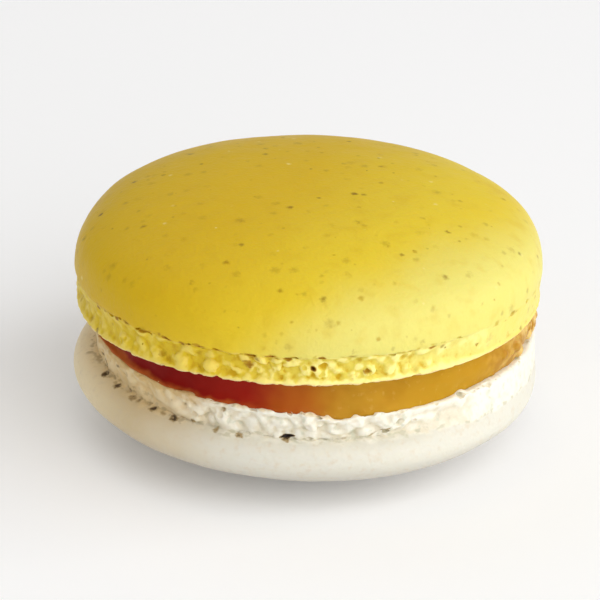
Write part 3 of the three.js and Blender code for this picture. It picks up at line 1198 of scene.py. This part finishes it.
def jelly_body(f):
    amber = f.mix(f.patches(0.35, 0.65, 3, 2), (0.42, 0.2, 0.012), (0.5, 0.26, 0.02))
    amber = f.mix(f.step(f.x, 5, 13), amber, (0.49, 0.26, 0.014))
    amber = f.mix(f.patches(0.58, 0.75, 0.7, 2, 4), amber, (0.7, 0.46, 0.12), 0.25)
    away = f.wander(f.vector_math("DISTANCE", BERRY)["Value"], 4, 3, 2, 6)
    away = f.math("SUBTRACT", away, f.times(f.step(f.x, -13, -19), 3.5))
    color = f.mix(f.step(away, 17.8, 12), amber, (0.42, 0.11, 0.01))
    crimson = f.mix(f.step(f.x, -13, -4), (0.215, 0.004, 0.002), (0.31, 0.014, 0.006))
    return f.mix(f.step(away, 14, 7.5), color, crimson)


def jelly_crumbs(f):
    pale = f.step(f.wander(f.x, 4, 1.2, 2, 8), 20.5, 24)
    crumbs = f.mix(pale, (0.55, 0.31, 0.04), (0.76, 0.55, 0.2))
    crumbs = f.mix(f.patches(0.34, 0.66, 1.3, 3, 10), crumbs, (0.42, 0.2, 0.016))
    # Painted shade: the crumbs are painted darker in their hollows.
    return f.mix(f.step(f.measured("hollow"), 0.03, 0.16), crumbs, (0.34, 0.14, 0.012))


def jelly_finish():
    f = Finish("fruit_jelly")
    crumbly = f.step(f.wander(f.x, 3, 1.2, 2, 8), 17.5, 20)
    color = f.mix(crumbly, jelly_body(f), jelly_crumbs(f))
    edge = f.plus(f.wander(f.z, 0.9, 1.5, 2, 9), f.times(f.step(f.x, -19, -12), 0.6))
    edge = f.step(edge, LOWER_FACE + 1.5, LOWER_FACE + 0.9)
    front_left = f.times(f.step(f.x, -2, -9), f.step(f.y, 4, -4))
    color = f.mix(f.times(edge, front_left), color, (0.52, 0.13, 0.024), 0.8)
    return f.finish(color, 0.38, (1.2, 0.4, 0.1), 0.2, 0.06)


dress(filling, jelly_finish())

# %% [markdown]
# ## Floor and light
# The floor is plain and nearly white. One large soft lamp in front, to the right, models
# the ruffles, and a smaller one brightens the right side. Weak ones behind and on the left
# keep those sides from going flat, and an even white sky fills the rest.

# %% Light the scene
FLOOR_GLOW = 0.11
LAMP_DISTANCE = 0.9
SKY_STRENGTH = 0.46


def add_floor():
    bpy.ops.mesh.primitive_plane_add(size=4)
    floor = bpy.context.object
    floor.name = "floor"
    material = bpy.data.materials.new("pale_floor")
    material.use_nodes = True
    shader = material.node_tree.nodes["Principled BSDF"]
    feed(shader, {"Base Color": (0.88, 0.885, 0.90, 1), "Roughness": 0.9})
    feed(shader, {"Emission Color": (1, 1, 1, 1), "Emission Strength": FLOOR_GLOW})
    floor.data.materials.append(material)


def add_lamp(name, azimuth, elevation, size, power, color=(1, 1, 1)):
    """A square lamp. Azimuth 0 is in front, at the camera's side, and 90 is at the right."""
    settings = {"shape": "SQUARE", "size": size, "energy": power, "color": color}
    holder = new_object(name, adjust(bpy.data.lights.new(name, "AREA"), settings))
    turn, rise = radians(azimuth), radians(elevation)
    flat = cos(rise)
    toward = Vector((sin(turn) * flat, -cos(turn) * flat, sin(rise)))
    spot = Matrix.Translation(toward * LAMP_DISTANCE + AIM)
    holder.matrix_world = spot @ toward.to_track_quat("Z", "Y").to_matrix().to_4x4()


def add_sky(strength, color):
    world = bpy.data.worlds.new("studio")
    world.use_nodes = True
    feed(world.node_tree.nodes["Background"], {"Color": (*color, 1), "Strength": strength})
    bpy.context.scene.world = world


add_floor()
add_lamp("key", 38, 34, 1.1, 6.9, (1.0, 0.99, 0.97))
add_lamp("side", 95, 22, 0.5, 2.2)
add_lamp("back", -140, 50, 0.6, 0.6)
add_lamp("left", -80, 30, 1.0, 0.35)
add_sky(SKY_STRENGTH, (1.0, 0.985, 0.96))
bpy.context.scene.view_settings.view_transform = "Standard"
print("lamps:", [lamp.name for lamp in bpy.data.lights])

# %% [markdown]
# ## Hand over
# Each piece rides on the one body and stands for its solid.

# %% Ride and replace
for piece, node, finish in (
    (upper_shell, "upper_shell", "upper_crust"),
    (filling, "filling", "fruit_filling"),
    (lower_shell, "lower_shell", "lower_crust"),
):
    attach(piece, "root")
    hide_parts(node)
